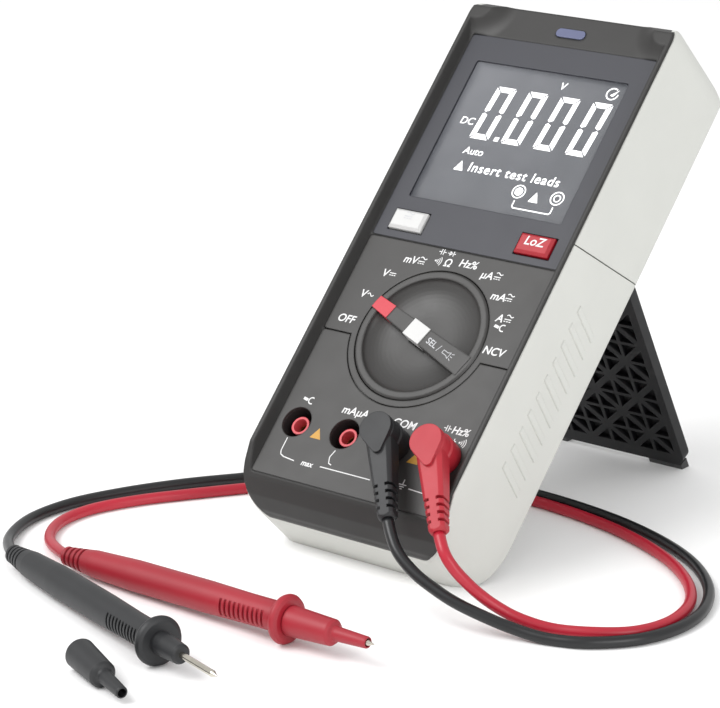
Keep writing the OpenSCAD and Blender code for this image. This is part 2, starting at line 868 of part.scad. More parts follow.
// a smooth curve through p[1] and p[2], at t from 0 to 1
function spline(p, t) =
    0.5 * (2 * p[1] + (p[2] - p[0]) * t + (2 * p[0] - 5 * p[1] + 4 * p[2] - p[3]) * t * t
           + (3 * p[1] - p[0] - 3 * p[2] + p[3]) * t * t * t);
function smooth(route) = concat(
    [for (i = [1:len(route) - 3], k = [0:lead_steps - 1])
        spline([for (j = [-1:2]) route[i + j]], k / lead_steps)],
    [route[len(route) - 2]]);
function tangents(path, first, last) = [for (i = [0:len(path) - 1])
    i == 0 ? first : i == len(path) - 1 ? last : unit(path[i + 1] - path[i - 1])];
function ring(centre, along, r) =
    let (side = unit(cross(along, [0, 0, 1])), up = cross(side, along))
    [for (k = [0:lead_sides - 1]) let (a = 360 * (k + 0.5) / lead_sides)
        centre + r * (cos(a) * side + sin(a) * up)];

// a round cord through a list of centre points; its corners lie on the true radius at mid-side
module cord(start, first, route, finish, last) {
    path = smooth(concat([start - 8 * first, start], route, [finish, finish + 8 * last]));
    dirs = tangents(path, first, last);
    n = lead_sides;
    m = len(path);
    rings = [for (i = [0:m - 1]) each ring(path[i], dirs[i], lead_r)];
    polyhedron(
        points = rings,
        faces = concat(
            [[for (k = [0:n - 1]) k]],
            [for (i = [0:m - 2], k = [0:n - 1])
                let (a = i * n + k, b = i * n + (k + 1) % n)
                each [[a, a + n, b + n], [a, b + n, b]]],
            [[for (k = [n - 1:-1:0]) (m - 1) * n + k]]));
}

module black_lead() {
    color("#2a2b2e")
        cord(plug_exit(2), lean_dir(tail_dir), black_route, black_probe_at,
             laid_dir(black_probe_turn, probe_tilt));
}

module red_lead() {
    color("#c8283c")
        cord(plug_exit(3), lean_dir(tail_dir), red_route, red_probe_at,
             laid_dir(red_probe_turn, probe_tilt));
}

// ==== probes

module probe_handle() {
    difference() {
        turned(concat(
            [[0, 0], [0, probe_rear_r - 0.4], [0.6, probe_rear_r]],
            [for (i = [0:3]) let (x = 1.6 + 2.2 * i, r = probe_rear_r + 0.25 * i)
                each [[x, r], [x + 0.1, r - 0.6], [x + 0.9, r - 0.6], [x + 1, r + 0.1]]],
            [[13, 4.3], [30, handle_r], [60, handle_r], [76, grip_r], [handle_len - 1.5, grip_r],
             [handle_len - 1.5, 0]]));
        // the grip's ridges are left standing between cuts in both sides
        for (i = [0:9], y = [-1, 1])
            translate([68 + 1.8 * i, y * (grip_r - 0.1) - 0.75, -2.6]) cube([0.9, 1.5, 5.2]);
    }
}

module probe_guard() {
    translate([handle_len - 1.5, 0, 0])
        turned([[0, 0], [0, grip_r + 0.5], [0.4, guard_r - 1.2], [1, guard_r - 0.3],
                [1.7, guard_r], [guard_t - 1.3, guard_r], [guard_t - 0.5, guard_r - 0.4],
                [guard_t, guard_r - 1.4], [guard_t, 0]]);
}

module probe_nose() {
    translate([handle_len + guard_t - 1.5, 0, 0])
        turned([[0, 0], [0, nose_r], [4, nose_r], [nose_end - 0.8, 3], [nose_end, 2.4],
                [nose_end, 0]]);
}

module probe_needle() {
    translate([handle_len + nose_to, 0, 0])
        turned([[0, 0], [0, needle_r], [nose_len - nose_to - 2.5, needle_r],
                [nose_len - nose_to, 0.1], [nose_len - nose_to, 0]]);
}

// a push-on cap from its wide open end to its thin end
module tip_cap() {
    s = cap_shoulder;
    turned([[0, cap_bore], [0, cap_r[0] - 0.2], [0.4, cap_r[0]], [s - 1.2, cap_r[1]],
            [s - 0.4, cap_r[1] - 0.6], [s, cap_r[2] + 0.3], [s + 0.6, cap_r[2]],
            [cap_len - 0.4, cap_r[3]], [cap_len, cap_r[3] - 0.2], [cap_len, needle_r + 0.32],
            [s - 0.6, needle_r + 0.32], [cap_bore_to + 0.6, 2.4], [cap_bore_to, cap_bore]]);
}

module black_probe() color("#4a4b4e") black_probe_place() probe_handle();
module black_probe_guard() color("#45464a") black_probe_place() probe_guard();
module black_probe_nose() color("#4a4b4e") black_probe_place() probe_nose();
module black_probe_needle() color("#c9c4b8") black_probe_place() probe_needle();
module red_probe() color("#b93a45") red_probe_place() probe_handle();
module red_probe_guard() color("#b53540") red_probe_place() probe_guard();
module red_probe_nose() color("#b93a45") red_probe_place() probe_nose();
module red_probe_needle() color("#c9c4b8") red_probe_place() probe_needle();

module red_tip_cap() {
    color("#c2404c") red_probe_place()
        translate([handle_len + guard_t - 1.5 + 0.1, 0, 0]) tip_cap();
}

module black_tip_cap() {
    color("#4a4b4e") lay(black_cap_at, black_cap_turn, cap_tilt) tip_cap();
}

front_case();
dial_panel();
jack_panel();
dial_ring();
display_overlay();
display_lens();
indicator_lens();
rear_shell_upper();
rear_shell_lower();
case_screws();
lcd_glass();
lcd_backlight();
lcd_frame();
contact_strips();
main_pcb();
keypad_mat();
knob();
knob_pointer();
knob_rotor();
knob_wipers();
sel_key();
white_key();
loz_key();
jack_wells();
jack_sleeves();
jack_contacts();
fuses();
fuse_clips();
batteries();
battery_contacts();
buzzer();
sensor_plate();
stand();
stand_pin();
stand_feet();
black_plug();
black_plug_shroud();
black_plug_pin();
red_plug();
red_plug_shroud();
red_plug_pin();
black_lead();
red_lead();
black_probe();
black_probe_guard();
black_probe_nose();
black_probe_needle();
red_probe();
red_probe_guard();
red_probe_nose();
red_probe_needle();
red_tip_cap();
black_tip_cap();
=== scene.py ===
"""The looks of a handheld multimeter that leans on its stand with two test leads plugged in.

Lengths are in metres in the CAD frame. Drawings on the face are in millimetres in the face's own
axes: u to the right, v up the face, n out of it, from the middle of the jack row.
"""

import json
import math

import bpy
from mathutils import Matrix, Vector


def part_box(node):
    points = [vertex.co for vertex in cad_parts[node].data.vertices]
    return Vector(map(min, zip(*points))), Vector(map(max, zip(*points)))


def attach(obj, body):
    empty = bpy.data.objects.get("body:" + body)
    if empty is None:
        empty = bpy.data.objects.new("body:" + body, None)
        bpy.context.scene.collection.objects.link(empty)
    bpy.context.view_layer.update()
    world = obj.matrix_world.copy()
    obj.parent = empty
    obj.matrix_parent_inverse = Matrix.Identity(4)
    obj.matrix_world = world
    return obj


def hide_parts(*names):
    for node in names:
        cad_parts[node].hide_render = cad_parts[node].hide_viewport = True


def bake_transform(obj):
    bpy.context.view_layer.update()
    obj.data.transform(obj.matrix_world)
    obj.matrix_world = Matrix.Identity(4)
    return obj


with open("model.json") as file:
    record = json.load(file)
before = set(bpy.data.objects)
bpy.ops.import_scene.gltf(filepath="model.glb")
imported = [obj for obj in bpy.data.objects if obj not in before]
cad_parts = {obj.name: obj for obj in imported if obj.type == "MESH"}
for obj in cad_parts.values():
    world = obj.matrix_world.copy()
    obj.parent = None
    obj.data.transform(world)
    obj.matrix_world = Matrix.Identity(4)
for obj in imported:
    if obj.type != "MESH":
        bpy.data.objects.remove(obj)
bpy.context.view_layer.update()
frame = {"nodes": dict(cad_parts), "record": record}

nodes = frame["nodes"]
mounts = {m["name"]: m for m in frame["record"]["mounts"]}
MM = 0.001

# ---------------------------------------------------------------- camera

VIEW_AZIMUTH = math.radians(38.1)
VIEW_ELEVATION = math.radians(17.4)
VIEW_DISTANCE = 0.9075
VIEW_TARGET = Vector((-0.0069, 0.0018, 0.0659))
VIEW_LENS = 148.07


def direction(azimuth, elevation):
    """The unit vector from the object towards a camera at this azimuth and elevation."""
    flat = math.cos(elevation)
    return Vector((math.sin(azimuth) * flat, -math.cos(azimuth) * flat, math.sin(elevation)))


def aimed(obj, place, target):
    obj.location = place
    obj.rotation_euler = (target - place).to_track_quat("-Z", "Y").to_euler()
    bpy.context.scene.collection.objects.link(obj)
    return obj


def add_camera():
    data = bpy.data.cameras.new("camera")
    data.lens = VIEW_LENS
    data.sensor_width = 36
    place = VIEW_TARGET + VIEW_DISTANCE * direction(VIEW_AZIMUTH, VIEW_ELEVATION)
    bpy.context.scene.camera = aimed(bpy.data.objects.new("camera", data), place, VIEW_TARGET)
    bpy.context.scene.view_settings.view_transform = "Standard"


add_camera()

# ---------------------------------------------------------------- face axes

FACE_OVER_CONTACT = 6.5
JACK_PITCH = 19.0
ROW_MIDDLE = 2.5
OUT = Vector(mounts["jack_1"]["axis"]).normalized()
RIGHT = Vector((1, 0, 0))
UP = OUT.cross(RIGHT)
JACK = Vector(mounts["jack_1"]["pos_m"])
ORIGIN = Vector((0, JACK.y, JACK.z)) + OUT * FACE_OVER_CONTACT * MM


def on_face(u, v, n=0.0):
    return ORIGIN + (RIGHT * u + UP * v + OUT * n) * MM


# ---------------------------------------------------------------- node materials


class Shader:
    """A small helper that builds one node material round a Principled BSDF."""

    def __init__(self, name):
        self.material = bpy.data.materials.new(name)
        self.material.use_nodes = True
        self.tree = self.material.node_tree
        self.bsdf = self.tree.nodes["Principled BSDF"]
        self.place = self.add("ShaderNodeTexCoord").outputs["Object"]

    def add(self, kind, inputs=None, **settings):
        node = self.tree.nodes.new(kind)
        for key, value in settings.items():
            setattr(node, key, value)
        for key, value in (inputs or {}).items():
            if isinstance(value, bpy.types.NodeSocket):
                self.tree.links.new(value, node.inputs[key])
            else:
                node.inputs[key].default_value = value
        return node

    def noise(self, size, detail=3.0, stretch=(1, 1, 1)):
        """Noise with features about `size` metres across, from 0 to 1."""
        place = self.place
        if stretch != (1, 1, 1):
            place = self.add("ShaderNodeMapping", {"Vector": place, "Scale": stretch}).outputs[0]
        node = self.add("ShaderNodeTexNoise", {"Vector": place, "Scale": 1 / size, "Detail": detail})
        return node.outputs["Fac"]

    def ramp(self, fac, low, high, start=0.35, end=0.65):
        """A colour that goes from low to high as fac goes from start to end."""
        node = self.add("ShaderNodeValToRGB", {"Fac": fac})
        node.color_ramp.elements[0].position = start
        node.color_ramp.elements[1].position = end
        node.color_ramp.elements[0].color = (*low, 1)
        node.color_ramp.elements[1].color = (*high, 1)
        return node.outputs["Color"]

    def spread(self, fac, low, high):
        node = self.add("ShaderNodeMapRange", {"Value": fac, "To Min": low, "To Max": high})
        return node.outputs["Result"]

    def bump(self, height, strength, distance, normal=None):
        inputs = {"Height": height, "Strength": strength, "Distance": distance}
        if normal is not None:
            inputs["Normal"] = normal
        return self.add("ShaderNodeBump", inputs).outputs["Normal"]

    def rounded(self, radius):
        """Normals that make sharp edges look rounded to this radius."""
        return self.add("ShaderNodeBevel", {"Radius": radius}, samples=4).outputs["Normal"]

    def set(self, **values):
        for key, value in values.items():
            socket = self.bsdf.inputs[key.replace("_", " ")]
            if isinstance(value, bpy.types.NodeSocket):
                self.tree.links.new(value, socket)
            else:
                socket.default_value = value
        return self


def rgb(code):
    """A linear colour from an sRGB hex code."""
    parts = [int(code[i:i + 2], 16) / 255 for i in (0, 2, 4)]
    return tuple(p / 12.92 if p <= 0.04045 else ((p + 0.055) / 1.055) ** 2.4 for p in parts)


def scaled(colour, factor):
    return tuple(min(1.0, c * factor) for c in colour)


def moulded(name, code, roughness=0.5, grain=0.0003, depth=0.00002, mottle=0.08, sheen=0.0,
            specular=0.5, coat=0.0, edge=0.0004):
    """Moulded plastic or rubber: rounded edges, spark-eroded grain, mottling and uneven gloss."""
    s = Shader(name)
    colour = rgb(code)
    cloud = s.noise(0.02, detail=4)
    smudge = s.noise(0.007, detail=5)
    fine = s.noise(grain, detail=2)
    s.set(
        Base_Color=s.ramp(cloud, scaled(colour, 1 - mottle), scaled(colour, 1 + mottle)),
        Roughness=s.spread(smudge, roughness - 0.07, roughness + 0.07),
        Normal=s.bump(fine, 0.5, depth, s.rounded(edge)),
        Specular_IOR_Level=specular,
        Sheen_Weight=sheen,
        Coat_Weight=coat,
        Coat_Roughness=0.25,
    )
    return s.material


def metal(name, code, roughness=0.25, brushed=(1, 1, 1)):
    s = Shader(name)
    colour = rgb(code)
    streaks = s.noise(0.0006, detail=3, stretch=brushed)
    s.set(
        Base_Color=s.ramp(s.noise(0.004), scaled(colour, 0.85), colour),
        Metallic=1.0,
        Roughness=s.spread(streaks, roughness - 0.08, roughness + 0.1),
        Normal=s.bump(streaks, 0.2, 0.00001),
    )
    return s.material


def printed(name, code, glow=0.0):
    """Opaque ink with slightly uneven cover, or a lit segment when glow is set."""
    s = Shader(name)
    colour = rgb(code)
    s.set(
        Base_Color=s.ramp(s.noise(0.0008), scaled(colour, 0.9), colour),
        Roughness=0.45,
        Emission_Color=(*colour, 1),
        Emission_Strength=glow,
    )
    return s.material


def lcd_surface():
    """The back-lit glass, its glow raised towards the upper left as a painted highlight of the light
    falling there.
    """
    s = Shader("lcd_backlight_with_painted_highlight")
    low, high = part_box("lcd_glass")
    across = s.add("ShaderNodeSeparateXYZ", {"Vector": s.place})
    left = s.add("ShaderNodeMapRange", {
        "Value": across.outputs["X"], "From Min": high[0], "From Max": low[0]}).outputs[0]
    top = s.add("ShaderNodeMapRange", {
        "Value": across.outputs["Z"], "From Min": low[2], "From Max": high[2]}).outputs[0]
    # painted highlight: this mask is strongest at the upper left corner of the glass, where the lamp
    # light falls
    corner = s.add("ShaderNodeMath", {0: left, 1: top}, operation="MULTIPLY").outputs[0]
    glow = s.ramp(corner, rgb("4b4d53"), rgb("8b8d93"), 0.0, 0.9)
    s.set(Base_Color=s.ramp(s.noise(0.01), rgb("1c1d20"), rgb("222327")), Roughness=0.3)
    s.set(Emission_Color=glow, Emission_Strength=0.56, Normal=s.bump(s.noise(0.0004), 0.1, 0.00001))
    return s.material


def clear_window():
    s = Shader("clear_window")
    s.set(Base_Color=s.ramp(s.noise(0.01), rgb("b5b8be"), rgb("c4c7cc")), Alpha=0.06,
          Roughness=s.spread(s.noise(0.005), 0.05, 0.1), Specular_IOR_Level=0.6)
    return s.material


def striped_rubber():
    s = Shader("zebra_strip")
    wave = s.add("ShaderNodeTexWave", {"Vector": s.place, "Scale": 400.0}).outputs["Fac"]
    s.set(Base_Color=s.ramp(wave, rgb("b96a80"), rgb("2a2a2c")), Roughness=0.7)
    return s.material


def circuit_board():
    s = Shader("circuit_board")
    cells = s.add("ShaderNodeTexVoronoi", {"Vector": s.place, "Scale": 320.0}).outputs["Distance"]
    s.set(Base_Color=s.ramp(cells, rgb("1f5a38"), rgb("2f7548"), 0.1, 0.2), Roughness=0.35,
          Normal=s.bump(cells, 0.3, 0.00003), Coat_Weight=0.4)
    return s.material


MATERIALS = {
    "dark_case": moulded("dark_case", "232221", 0.48, mottle=0.04, edge=0.0012),
    "face_inlay": moulded("face_inlay", "343332", 0.46, mottle=0.03, edge=0.0006),
    "overlay_film": moulded("overlay_film", "2e2f36", 0.42, depth=0.000005, mottle=0.03),
    "window": clear_window(),
    "light_shell": moulded("light_shell", "c6c7c2", 0.55, depth=0.00001, mottle=0.012),
    "blue_lens": moulded("blue_lens", "555a78", 0.25, depth=0.000005, coat=0.3),
    "screw_steel": metal("screw_steel", "8f8f8c", 0.35),
    "lcd_glass": lcd_surface(),
    "diffuser": moulded("diffuser", "f0f0ea", 0.6),
    "frame_plastic": moulded("frame_plastic", "d8d8d4", 0.5),
    "strip_rubber": striped_rubber(),
    "board": circuit_board(),
    "mat_rubber": moulded("mat_rubber", "c9c9c4", 0.6, sheen=0.2),
    "knob_plastic": moulded("knob_plastic", "353433", 0.42, mottle=0.04, edge=0.0008),
    "pointer_red": moulded("pointer_red", "b92f3c", 0.4, mottle=0.04),
    "rotor_plastic": moulded("rotor_plastic", "d4d0c4", 0.5),
    "contact_brass": metal("contact_brass", "c9b067", 0.3),
    "key_white": moulded("key_white", "c4c4c3", 0.5, depth=0.00001, mottle=0.02),
    "key_red": moulded("key_red", "a01322", 0.42, depth=0.00001, mottle=0.04),
    "jack_dark": moulded("jack_dark", "262525", 0.5),
    "jack_red": moulded("jack_red", "d25058", 0.4, mottle=0.05),
    "fuse_ceramic": moulded("fuse_ceramic", "e6e2d6", 0.3, coat=0.4),
    "cell_case": moulded("cell_case", "4c7a54", 0.3, coat=0.5),
    "cell_contact": metal("cell_contact", "b9b9b5", 0.3),
    "black_moulding": moulded("black_moulding", "2a2a2a", 0.5),
    "sensor_copper": metal("sensor_copper", "b58b4a", 0.35),
    "stand_plastic": moulded("stand_plastic", "0a0a0d", 0.5, mottle=0.06, specular=0.35),
    "foot_rubber": moulded("foot_rubber", "1d1d1f", 0.7, sheen=0.2),
    "pin_steel": metal("pin_steel", "a9a9a6", 0.25, brushed=(0.1, 1, 1)),
    "plug_black": moulded("plug_black", "1b1c1e", 0.5, mottle=0.06),
    "plug_red": moulded("plug_red", "a51f2c", 0.5, mottle=0.05),
    "tip_nickel": metal("tip_nickel", "cfcabe", 0.2),
    "lead_black": moulded("lead_black", "131416", 0.36, mottle=0.08),
    "lead_red": moulded("lead_red", "a8172c", 0.36, mottle=0.05),
    "probe_black": moulded("probe_black", "1f2022", 0.5, mottle=0.06),
    "probe_red": moulded("probe_red", "981c2a", 0.46, mottle=0.05),
}
INK_WHITE = printed("ink_white", "dadada")
INK_YELLOW = printed("ink_yellow", "c08f34")
INK_GREY = printed("ink_grey", "b9babd")
LIT_SEGMENT = printed("lit_segment", "ffffff", glow=0.9)


def dress_cad():
    """Gives each CAD node the material of its record slot."""
    for part in frame["record"]["subparts"]:
        obj = nodes[part["node"]]
        material = MATERIALS[part["material_slot"]]
        for slot in obj.material_slots:
            slot.material = material


dress_cad()

# ---------------------------------------------------------------- leads

LEAD_DIAMETER = 0.0036
LEAD_SIDES = 20
LEAD_STEP = 0.0015
PLUG_TURN = math.radians(32)
PLUG_REACH = 30.5
TAIL_HEIGHT = 8.0
HANDLE_LENGTH = 90
HANDLE_REAR_Z = 4.7
HANDLE_FRONT_Z = 7.5
PROBE_TILT = math.asin((HANDLE_FRONT_Z - HANDLE_REAR_Z) / HANDLE_LENGTH)
END_RUN = 8.0

BLACK_PROBE = {"rear": (-84.5, -73, HANDLE_REAR_Z), "turn": math.radians(-18.5)}
RED_PROBE = {"rear": (-70.5, -64, HANDLE_REAR_Z), "turn": math.radians(-1.8)}
BLACK_ROUTE = [
    (32, -30.5, 21), (39, -31.5, 16), (46, -31, 12.4), (53, -30, 9.4), (61, -27.5, 6.4),
    (70, -24, 3.4), (80, -21, 1.8), (91, -16, 1.8), (101, -5, 1.8), (105.5, 9, 1.8),
    (104.5, 24, 1.8), (97, 40, 1.8), (84, 54, 1.8), (68, 64, 1.8), (48, 71.5, 1.8),
    (28, 75.5, 1.8), (8, 77, 1.8), (-12, 76, 1.8), (-32, 71, 1.8), (-50, 61, 1.8),
    (-66, 46, 1.8), (-79, 29, 1.8), (-91, 12, 1.8), (-101, -7, 1.8), (-107, -25, 1.8),
    (-107, -43, 1.8), (-99, -60, 2.4),
]
RED_ROUTE = [
    (49, -29.5, 23.4), (52, -29, 19.3), (55, -27, 15.2), (58, -24.3, 11.2), (62, -21.3, 7.4),
    (68, -18, 4), (77, -14, 1.8), (88, -9, 1.8), (97, -1, 1.8), (101, 11, 1.8),
    (99, 25, 1.8), (91.5, 38, 1.8), (79, 50, 1.8), (64, 59, 1.8), (46, 66, 1.8),
    (27, 70, 1.8), (8, 71.5, 1.8), (-11, 70, 1.8), (-29, 64.5, 1.8), (-45, 54, 1.8),
    (-59, 40, 1.8), (-71, 23, 1.8), (-82, 7, 1.8), (-92, -9, 1.8), (-98, -25, 1.8),
    (-97, -40, 1.8), (-88, -53, 2.2),
]


def spline(a, b, c, d, t):
    """A point between b and c of a smooth curve through a, b, c and d."""
    return 0.5 * (2 * b + (c - a) * t + (2 * a - 5 * b + 4 * c - d) * t ** 2
                  + (3 * b - a - 3 * c + d) * t ** 3)


def lead_path(jack_number, route, probe):
    """The lead's centreline in metres, from its plug to the rear of its probe.

    The curve runs END_RUN past each end, inside the plug and the probe, to leave both straight.
    """
    tail = RIGHT * math.sin(PLUG_TURN) - UP * math.cos(PLUG_TURN)
    root = on_face((jack_number - ROW_MIDDLE) * JACK_PITCH, 0, TAIL_HEIGHT)
    start = root + tail * PLUG_REACH * MM
    flat = math.cos(PROBE_TILT)
    along = Vector((math.cos(probe["turn"]) * flat, math.sin(probe["turn"]) * flat,
                    math.sin(PROBE_TILT)))
    end = Vector(probe["rear"]) * MM
    points = [start - tail * END_RUN * MM, start]
    points += [Vector(p) * MM for p in route]
    points += [end, end + along * END_RUN * MM]
    path = []
    for a, b, c, d in zip(points, points[1:], points[2:], points[3:]):
        steps = max(2, round((c - b).length / LEAD_STEP))
        path += [spline(a, b, c, d, k / steps) for k in range(steps)]
    return path + [end]


def new_mesh(name, vertices, faces, material, smooth=True):
    mesh = bpy.data.meshes.new(name)
    mesh.from_pydata([tuple(v) for v in vertices], [], faces)
    mesh.materials.append(material)
    for polygon in mesh.polygons:
        polygon.use_smooth = smooth
    obj = bpy.data.objects.new(name, mesh)
    bpy.context.scene.collection.objects.link(obj)
    return obj


def tube(name, path, radius, material, sides=LEAD_SIDES):
    vertices, faces = [], []
    for i, centre in enumerate(path):
        along = (path[min(i + 1, len(path) - 1)] - path[max(i - 1, 0)]).normalized()
        side = along.cross(Vector((0, 0, 1))).normalized()
        over = side.cross(along)
        for k in range(sides):
            angle = 2 * math.pi * k / sides
            vertices.append(centre + radius * (math.cos(angle) * side + math.sin(angle) * over))
    for i in range(len(path) - 1):
        for k in range(sides):
            a, b = i * sides + k, i * sides + (k + 1) % sides
            faces.append((a, a + sides, b + sides, b))
    faces.append(tuple(range(sides)))
    faces.append(tuple(range((len(path) - 1) * sides, len(path) * sides))[::-1])
    return new_mesh(name, vertices, faces, material)


def add_lead(colour, jack_number, route, probe):
    path = lead_path(jack_number, route, probe)
    lead = tube(f"{colour}_lead_cord", path, LEAD_DIAMETER / 2, MATERIALS[f"lead_{colour}"])
    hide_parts(f"{colour}_lead")
    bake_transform(lead)


add_lead("black", 3, BLACK_ROUTE, BLACK_PROBE)
add_lead("red", 4, RED_ROUTE, RED_PROBE)

# ---------------------------------------------------------------- printing


class Print:
    """Flat artwork in face millimetres, collected into one mesh."""

    def __init__(self, name, material, n, body="meter", slot=None, place=on_face):
        self.name, self.material, self.n, self.body = name, material, n, body
        self.slot, self.place = slot, place
        self.vertices, self.faces = [], []

    def fill(self, outline):
        start = len(self.vertices)
        self.vertices += [self.place(u, v, self.n) for u, v in outline]
        self.faces.append(tuple(range(start, start + len(outline))))

    def line(self, points, width):
        """A band of this width along straight pieces, with mitred corners."""
        left, right = [], []
        for i, (x, y) in enumerate(points):
            before = points[max(i - 1, 0)]
            after = points[min(i + 1, len(points) - 1)]
            a = Vector((x - before[0], y - before[1])).normalized()
            b = Vector((after[0] - x, after[1] - y)).normalized()
            along = (a + b).normalized() if a.length and b.length else (a if a.length else b)
            reach = width / 2 / max(0.4, along.dot(b if b.length else a))
            left.append((x - along.y * reach, y + along.x * reach))
            right.append((x + along.y * reach, y - along.x * reach))
        for i in range(len(points) - 1):
            self.fill([left[i], right[i], right[i + 1], left[i + 1]])

    def arc(self, centre, radius, start, end, width, steps=24):
        angles = [math.radians(start + (end - start) * k / steps) for k in range(steps + 1)]
        self.line([(centre[0] + radius * math.cos(a), centre[1] + radius * math.sin(a))
                   for a in angles], width)

    def disc(self, centre, radius, steps=24):
        angles = [2 * math.pi * k / steps for k in range(steps)]
        self.fill([(centre[0] + radius * math.cos(a), centre[1] + radius * math.sin(a))
                   for a in angles])

    def text(self, words, at, height, turn=0.0, slant=0.0, weight=0.0, spacing=1.0):
        """Words in the built-in font with capitals of this height, centred on a point."""
        curve = bpy.data.curves.new("words", "FONT")
        curve.body = words
        curve.size = height / CAPITAL_SHARE
        curve.shear = slant
        curve.offset = weight
        curve.space_character = spacing
        curve.align_x = "CENTER"
        holder = bpy.data.objects.new("words", curve)
        bpy.context.scene.collection.objects.link(holder)
        bpy.context.view_layer.update()
        mesh = bpy.data.meshes.new_from_object(holder.evaluated_get(
            bpy.context.evaluated_depsgraph_get()))
        spin = Matrix.Rotation(math.radians(turn), 2)
        start = len(self.vertices)
        for vertex in mesh.vertices:
            flat = spin @ Vector((vertex.co.x, vertex.co.y - height / 2))
            self.vertices.append(self.place(at[0] + flat.x, at[1] + flat.y, self.n))
        self.faces += [tuple(start + i for i in p.vertices) for p in mesh.polygons]
        bpy.data.objects.remove(holder)
        bpy.data.curves.remove(curve)
        bpy.data.meshes.remove(mesh)

    def done(self):
        obj = new_mesh(self.name, self.vertices, self.faces, self.material, smooth=False)
        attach(obj, self.body)
        return obj


CAPITAL_SHARE = 0.69
INK_LIFT = 0.04
LCD_N = -1.9
GLASS_SHIFT = (-1.5, 0.8)
BOLD = 0.07
SLANT = 0.14


def steady_sign(ink, u, v, size=2.4):
    """The sign for direct voltage: a full line over three dashes."""
    ink.line([(u - size / 2, v + 0.35), (u + size / 2, v + 0.35)], 0.32)
    for k in range(3):
        left = u - size / 2 + k * size * 0.37
        ink.line([(left, v - 0.4), (left + size * 0.26, v - 0.4)], 0.32)


def wave_sign(ink, u, v, size=2.4, height=0.5):
    points = [(u - size / 2 + size * k / 16, v + height * math.sin(2 * math.pi * k / 16))
              for k in range(17)]
    ink.line(points, 0.34)


def both_sign(ink, u, v, size=2.5):
    """The sign for either voltage: a wave over the direct voltage sign."""
    wave_sign(ink, u + 0.4, v + 1.25, size, 0.35)
    steady_sign(ink, u, v - 0.35, size)


def capacitor_sign(ink, u, v):
    ink.line([(u - 1.4, v), (u - 0.35, v)], 0.3)
    ink.line([(u + 0.35, v), (u + 1.4, v)], 0.3)
    for x in (-0.4, 0.4):
        ink.line([(u + x, v - 1), (u + x, v + 1)], 0.3)


def diode_sign(ink, u, v):
    ink.line([(u - 1.5, v), (u + 1.5, v)], 0.3)
    ink.fill([(u - 0.8, v - 0.85), (u + 0.6, v), (u - 0.8, v + 0.85)])
    ink.line([(u + 0.7, v - 0.9), (u + 0.7, v + 0.9)], 0.3)


def sound_sign(ink, u, v):
    ink.disc((u - 1, v), 0.35, 12)
    for radius in (1.0, 1.7, 2.4):
        ink.arc((u - 1.2, v), radius, -38, 38, 0.28, 8)


def clamp_sign(ink, u, v):
    """A clamp meter: its handle at the left and its open jaw at the right."""
    ink.line([(u - 2, v + 0.4), (u - 0.2, v)], 0.95)
    ink.arc((u + 1.3, v), 1.1, 60, 300, 0.42, 16)


def lamp_sign(ink, u, v, turn):
    """A torch with three rays, pointing along turn."""
    spin = Matrix.Rotation(math.radians(turn), 2)

    def at(x, y):
        flat = spin @ Vector((x, y))
        return u + flat.x, v + flat.y

    ink.line([at(-2.2, -0.55), at(-2.2, 0.55), at(-0.2, 0.55), at(0.8, 1.1), at(0.8, -1.1),
              at(-0.2, -0.55), at(-2.2, -0.55)], 0.22)
    for y in (-0.8, 0, 0.8):
        ink.line([at(1.4, y), at(2.3, y * 1.6)], 0.22)


def seven_segment_zero(ink, u, v, width, height, bar, slant):
    """The digit 0 of a slanted seven-segment display, with its lower left corner at u, v."""
    nick = 0.2
    half = height / 2
    outer_waist, inner_waist, point_share = bar * 0.35, bar * 0.45, 0.35

    def lean(points):
        return [(u + x + slant * y / height, v + y) for x, y in points]

    for y0, y1 in ((height, height - bar), (0, bar)):
        ink.fill(lean([(nick * 2, y0), (width - nick * 2, y0), (width - bar - nick, y1),
                       (bar + nick, y1)]))
    for x0, x1 in ((0, bar), (width, width - bar)):
        point = x0 + (x1 - x0) * point_share
        ink.fill(lean([(x0, nick * 2), (x1, bar + nick), (x1, half - inner_waist),
                       (point, half - nick), (x0, half - outer_waist)]))
        ink.fill(lean([(x0, half + outer_waist), (point, half + nick), (x1, half + inner_waist),
                       (x1, height - bar - nick), (x0, height - nick * 2)]))


def on_glass(u, v, n):
    """A spot on the display glass, moved so that it shows below its place on the face."""
    return on_face(u + GLASS_SHIFT[0], v + GLASS_SHIFT[1], n)


def draw_display():
    lit = Print("display_segments", LIT_SEGMENT, LCD_N + INK_LIFT, slot="key_white",
                place=on_glass)
    for k in range(4):
        seven_segment_zero(lit, -18.4 + 12.4 * k, 109.2, 7.5, 20.2, 1.95, 1.6)
    lit.fill([(-8.9, 109.4), (-7.2, 109.4), (-7, 111), (-8.7, 111)])
    lit.text("DC", (-21.9, 115.2), 2.6, slant=0.1, weight=0.02)
    lit.text("Auto", (-14, 104.6), 2.6, slant=0.1, weight=0.02)
    lit.text("V", (6.6, 133.2), 2.6, slant=0.15, weight=0.03)
    lit.arc((25.5, 133.2), 2.1, 55, 360, 0.45)
    lit.fill([(24.8, 132.6), (27.6, 135), (26, 132.2)])
    lit.text("Insert test leads", (4.6, 98.9), 3.3, slant=0.08, weight=0.06, spacing=1.12)
    lit.fill([(-18.2, 96.9), (-14.6, 96.9), (-16.4, 100.6)])
    for u in (9.4, 24):
        lit.arc((u, 93.3), 2.3, 0, 360, 0.42, 32)
    lit.disc((9.4, 93.3), 1.5)
    lit.arc((24, 93.3), 1.15, 0, 360, 0.4)
    lit.line([(9.4, 90), (9.4, 87.9), (10, 87.3), (23.4, 87.3), (24, 87.9), (24, 90)], 0.42)
    lit.fill([(14.2, 90.4), (17.8, 90.4), (16, 94.2)])
    lit.done()


DIAL_CENTRE = (0, 38)
LABEL_RADIUS = 28.4


